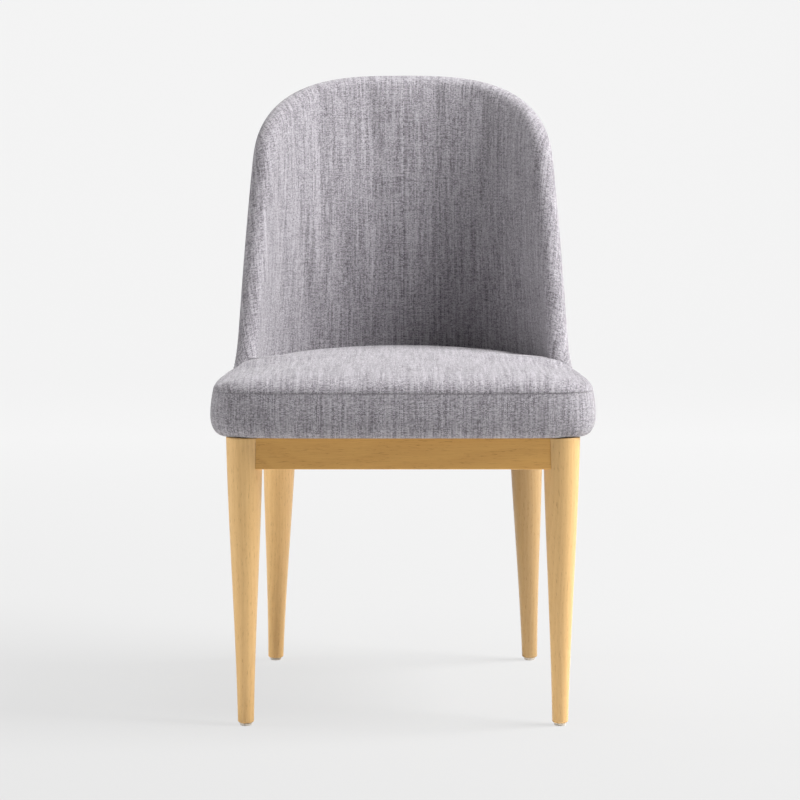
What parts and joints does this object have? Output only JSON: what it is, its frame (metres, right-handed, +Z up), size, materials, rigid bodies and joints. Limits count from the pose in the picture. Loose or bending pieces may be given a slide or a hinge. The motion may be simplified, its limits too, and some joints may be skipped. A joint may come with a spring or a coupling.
{
  "type": "upholstered dining chair",
  "caption": "Upholstered dining chair: a padded, curved back with wings round a boxed seat cushion, on a rail frame with turned, tapered wooden legs.",
  "frame": {"origin": "middle of the chair's footprint, on the floor", "axes": "+X to the right as seen from the front, -Y towards the front of the chair, +Z up"},
  "size_m": [0.508, 0.549, 0.8468],
  "materials": {
    "wood": "pale natural hardwood under a satin clear lacquer",
    "plywood": "bare plywood",
    "fabric": "heathered light grey plain weave",
    "foam": "open-cell upholstery foam",
    "dust_cloth": "thin black non-woven cloth",
    "steel": "bright zinc-plated steel",
    "nylon": "off-white nylon"
  },
  "bodies": {
    "root": {"front_left_leg": "wood", "front_right_leg": "wood", "rear_left_leg": "wood", "rear_right_leg": "wood", "front_rail": "wood", "rear_rail": "wood", "left_rail": "wood", "right_rail": "wood", "corner_block_front_left": "wood", "corner_block_front_right": "wood", "corner_block_rear_left": "wood", "corner_block_rear_right": "wood", "seat_board": "plywood", "back_shell": "plywood", "back_foot_strip": "plywood", "seat_border_cover": "fabric", "seat_top_cover": "fabric", "back_inner_cover": "fabric", "back_outer_cover": "fabric", "seat_foam": "foam", "back_inner_foam": "foam", "back_outer_foam": "foam", "seat_dust_cover": "dust_cloth", "block_screw_1": "steel", "block_screw_2": "steel", "block_screw_3": "steel", "block_screw_4": "steel", "block_screw_5": "steel", "block_screw_6": "steel", "block_screw_7": "steel", "block_screw_8": "steel", "seat_screw_1": "steel", "seat_screw_2": "steel", "seat_screw_3": "steel", "seat_screw_4": "steel", "seat_nut_1": "steel", "seat_nut_2": "steel", "seat_nut_3": "steel", "seat_nut_4": "steel", "back_bolt_1": "steel", "back_bolt_2": "steel", "back_bolt_3": "steel", "back_bolt_4": "steel", "back_bolt_5": "steel", "back_bolt_6": "steel", "back_nut_1": "steel", "back_nut_2": "steel", "back_nut_3": "steel", "back_nut_4": "steel", "back_nut_5": "steel", "back_nut_6": "steel", "foot_glide_1": "nylon", "foot_glide_2": "nylon", "foot_glide_3": "nylon", "foot_glide_4": "nylon"}
  },
  "joints": []
}
